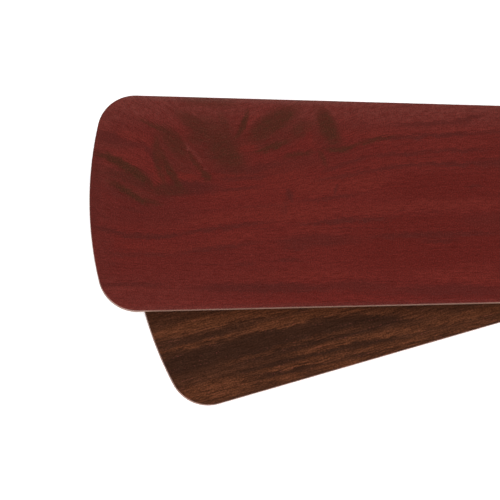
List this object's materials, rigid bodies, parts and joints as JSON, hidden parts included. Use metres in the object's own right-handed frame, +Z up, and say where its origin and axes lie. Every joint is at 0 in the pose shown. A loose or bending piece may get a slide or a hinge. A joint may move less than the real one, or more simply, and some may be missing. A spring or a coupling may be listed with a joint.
{
  "type": "ceiling fan blade pair",
  "caption": "Flat reversible ceiling-fan blades of veneered plywood with rounded tips and bushed root holes, rosewood on one face, walnut on the other, lying crossed.",
  "frame": {"origin": "centre of the crossed pair's footprint, on the surface that the lower blade lies on", "axes": "+X runs along the upper blade from its rounded tip to its root, +Y across it, +Z up out of its rosewood face"},
  "size_m": [0.562, 0.2476, 0.013],
  "materials": {
    "rosewood": "satin lacquered rosewood-grain veneer",
    "walnut": "satin lacquered dark walnut-grain veneer",
    "birch_long": "sanded and sealed birch ply, grain along the blade",
    "birch_cross": "sanded and sealed birch ply, grain across the blade",
    "rubber": "matt moulded rubber"
  },
  "bodies": {
    "lower_blade": {"lower_blade_rosewood_veneer": "rosewood", "lower_blade_crossband_1": "birch_cross", "lower_blade_long_ply_2": "birch_long", "lower_blade_centre_crossband_3": "birch_cross", "lower_blade_long_ply_4": "birch_long", "lower_blade_crossband_5": "birch_cross", "lower_blade_walnut_veneer": "walnut", "lower_blade_bush_inner_left": "rubber", "lower_blade_bush_inner_right": "rubber", "lower_blade_bush_outboard": "rubber"},
    "upper_blade": {"upper_blade_rosewood_veneer": "rosewood", "upper_blade_crossband_1": "birch_cross", "upper_blade_long_ply_2": "birch_long", "upper_blade_centre_crossband_3": "birch_cross", "upper_blade_long_ply_4": "birch_long", "upper_blade_crossband_5": "birch_cross", "upper_blade_walnut_veneer": "walnut", "upper_blade_bush_inner_left": "rubber", "upper_blade_bush_inner_right": "rubber", "upper_blade_bush_outboard": "rubber"}
  },
  "joints": [
    {"name": "upper_blade_lift", "type": "slide", "parent": "lower_blade", "child": "upper_blade", "axis": [0, 0, 1], "range_m": [0, 0.1]}
  ]
}
